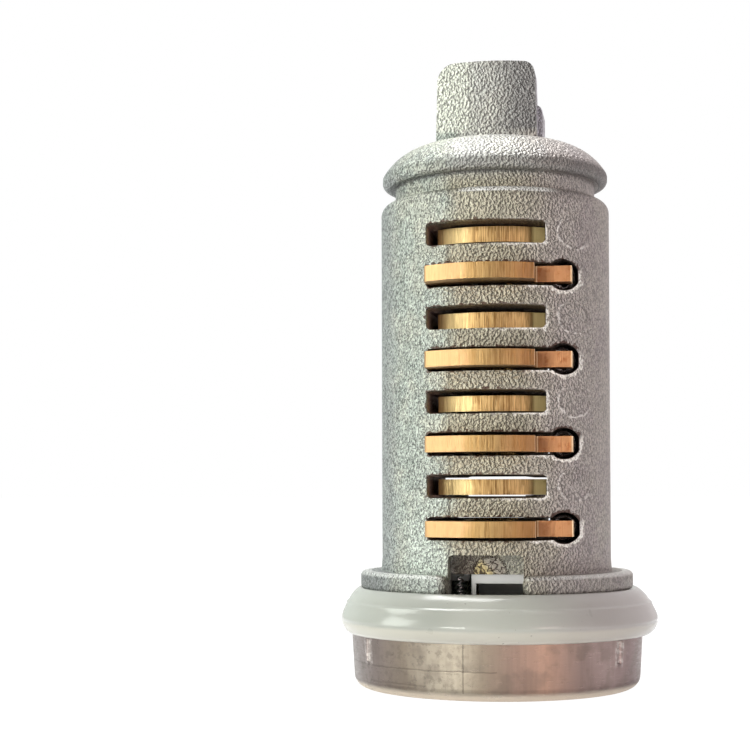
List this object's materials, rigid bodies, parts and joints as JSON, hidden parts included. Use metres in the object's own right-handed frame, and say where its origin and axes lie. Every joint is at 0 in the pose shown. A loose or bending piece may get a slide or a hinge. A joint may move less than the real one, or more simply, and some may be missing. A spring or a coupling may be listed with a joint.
{
  "type": "door lock cylinder",
  "caption": "Vehicle door lock plug: cast barrel with sprung brass wafers, drive tang, clip groove, seal ring, steel face cap and a hinged key shutter.",
  "frame": {"origin": "centre of the face cap's outer face, on the plug's axis", "axes": "+Z along the plug's axis from the face to the drive tang; -Y is the front, where the notch and the arms of the even wafers are"},
  "size_m": [0.0236, 0.0236, 0.0463],
  "materials": {
    "die_cast_zinc": "as cast, fine grain",
    "satin_steel": "satin, lightly scratched",
    "milky_seal": "soft, milky translucent",
    "guide_steel": "plain pressed steel",
    "shutter_zinc": "as cast",
    "pin_steel": "drawn wire",
    "spring_steel": "bright wire",
    "wafer_brass": "stamped, edges sheared"
  },
  "bodies": {
    "plug": {"plug": "die_cast_zinc", "seal_ring": "milky_seal", "face_cap": "satin_steel", "shutter_guide": "guide_steel", "shutter_pin": "pin_steel", "shutter_spring": "spring_steel", "wafer_spring_1": "spring_steel", "wafer_spring_2": "spring_steel", "wafer_spring_3": "spring_steel", "wafer_spring_4": "spring_steel", "wafer_spring_5": "spring_steel", "wafer_spring_6": "spring_steel", "wafer_spring_7": "spring_steel", "wafer_spring_8": "spring_steel"},
    "wafer_1": {"wafer_1": "wafer_brass"},
    "wafer_2": {"wafer_2": "wafer_brass"},
    "wafer_3": {"wafer_3": "wafer_brass"},
    "wafer_4": {"wafer_4": "wafer_brass"},
    "wafer_5": {"wafer_5": "wafer_brass"},
    "wafer_6": {"wafer_6": "wafer_brass"},
    "wafer_7": {"wafer_7": "wafer_brass"},
    "wafer_8": {"wafer_8": "wafer_brass"},
    "shutter": {"shutter": "shutter_zinc"}
  },
  "joints": [
    {"name": "wafer_1_slide", "type": "slide", "parent": "plug", "child": "wafer_1", "axis": [0, -1, 0], "range_m": [0, 0.002], "stiffness_N_per_m": 60, "springref_m": -0.003, "deforming": ["wafer_spring_1"]},
    {"name": "wafer_2_slide", "type": "slide", "parent": "plug", "child": "wafer_2", "axis": [0, 1, 0], "range_m": [0, 0.002], "stiffness_N_per_m": 60, "springref_m": -0.003, "deforming": ["wafer_spring_2"]},
    {"name": "wafer_3_slide", "type": "slide", "parent": "plug", "child": "wafer_3", "axis": [0, -1, 0], "range_m": [0, 0.002], "stiffness_N_per_m": 60, "springref_m": -0.003, "deforming": ["wafer_spring_3"]},
    {"name": "wafer_4_slide", "type": "slide", "parent": "plug", "child": "wafer_4", "axis": [0, 1, 0], "range_m": [0, 0.002], "stiffness_N_per_m": 60, "springref_m": -0.003, "deforming": ["wafer_spring_4"]},
    {"name": "wafer_5_slide", "type": "slide", "parent": "plug", "child": "wafer_5", "axis": [0, -1, 0], "range_m": [0, 0.002], "stiffness_N_per_m": 60, "springref_m": -0.003, "deforming": ["wafer_spring_5"]},
    {"name": "wafer_6_slide", "type": "slide", "parent": "plug", "child": "wafer_6", "axis": [0, 1, 0], "range_m": [0, 0.002], "stiffness_N_per_m": 60, "springref_m": -0.003, "deforming": ["wafer_spring_6"]},
    {"name": "wafer_7_slide", "type": "slide", "parent": "plug", "child": "wafer_7", "axis": [0, -1, 0], "range_m": [0, 0.002], "stiffness_N_per_m": 60, "springref_m": -0.003, "deforming": ["wafer_spring_7"]},
    {"name": "wafer_8_slide", "type": "slide", "parent": "plug", "child": "wafer_8", "axis": [0, 1, 0], "range_m": [0, 0.002], "stiffness_N_per_m": 60, "springref_m": -0.003, "deforming": ["wafer_spring_8"]},
    {"name": "shutter_hinge", "type": "hinge", "parent": "plug", "child": "shutter", "pos_m": [-0.0026, 0, 0.0016], "axis": [0, -1, 0], "range_deg": [0, 88], "stiffness_Nm_per_rad": 0.0004, "springref_deg": -28.65, "deforming": ["shutter_spring"]}
  ]
}
